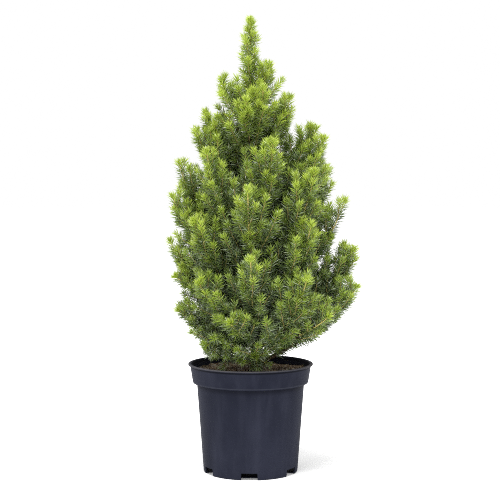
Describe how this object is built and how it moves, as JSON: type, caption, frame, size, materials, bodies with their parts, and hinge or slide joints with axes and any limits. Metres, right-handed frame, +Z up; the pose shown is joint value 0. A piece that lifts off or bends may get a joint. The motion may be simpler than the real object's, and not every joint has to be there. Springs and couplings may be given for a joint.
{
  "type": "potted dwarf spruce",
  "caption": "Dwarf conical spruce with dense short needles on upswept boughs round one trunk, growing in a dark plastic nursery pot filled with compost.",
  "frame": {"origin": "centre of the flat underside of the pot, on the ground", "axes": "+Z up along the pot's axis and the trunk; -Y is the side seen in the picture; +X is to the picture's right"},
  "size_m": [0.27, 0.2638, 0.624],
  "materials": {
    "pot": "satin",
    "compost": "matte",
    "bark": "matte",
    "foliage": "matte"
  },
  "bodies": {
    "root": {"pot": "pot", "compost": "compost", "trunk": "bark", "bough_18": "bark", "bough_24": "bark", "bough_22": "bark", "bough_19": "bark", "bough_29": "bark", "bough_17": "bark", "bough_30": "bark", "bough_33": "bark", "bough_32": "bark", "bough_16": "bark", "bough_26": "bark", "bough_35": "bark", "foliage_leader": "foliage", "foliage_01": "foliage", "foliage_02": "foliage", "foliage_03": "foliage", "foliage_04": "foliage", "foliage_05": "foliage", "foliage_06": "foliage", "foliage_07": "foliage", "foliage_08": "foliage", "foliage_09": "foliage", "foliage_10": "foliage", "foliage_11": "foliage", "foliage_12": "foliage", "foliage_13": "foliage", "foliage_14": "foliage", "foliage_15": "foliage", "foliage_16": "foliage", "foliage_17": "foliage", "foliage_18": "foliage", "foliage_19": "foliage", "foliage_20": "foliage", "foliage_21": "foliage", "foliage_22": "foliage", "foliage_23": "foliage", "foliage_24": "foliage", "foliage_25": "foliage", "foliage_26": "foliage", "foliage_27": "foliage", "foliage_28": "foliage", "foliage_29": "foliage", "foliage_30": "foliage", "foliage_31": "foliage", "foliage_32": "foliage", "foliage_33": "foliage", "foliage_34": "foliage", "foliage_35": "foliage", "foliage_36": "foliage", "foliage_37": "foliage", "foliage_38": "foliage", "foliage_39": "foliage", "foliage_40": "foliage", "foliage_41": "foliage", "foliage_42": "foliage", "foliage_43": "foliage", "foliage_44": "foliage"}
  },
  "joints": []
}
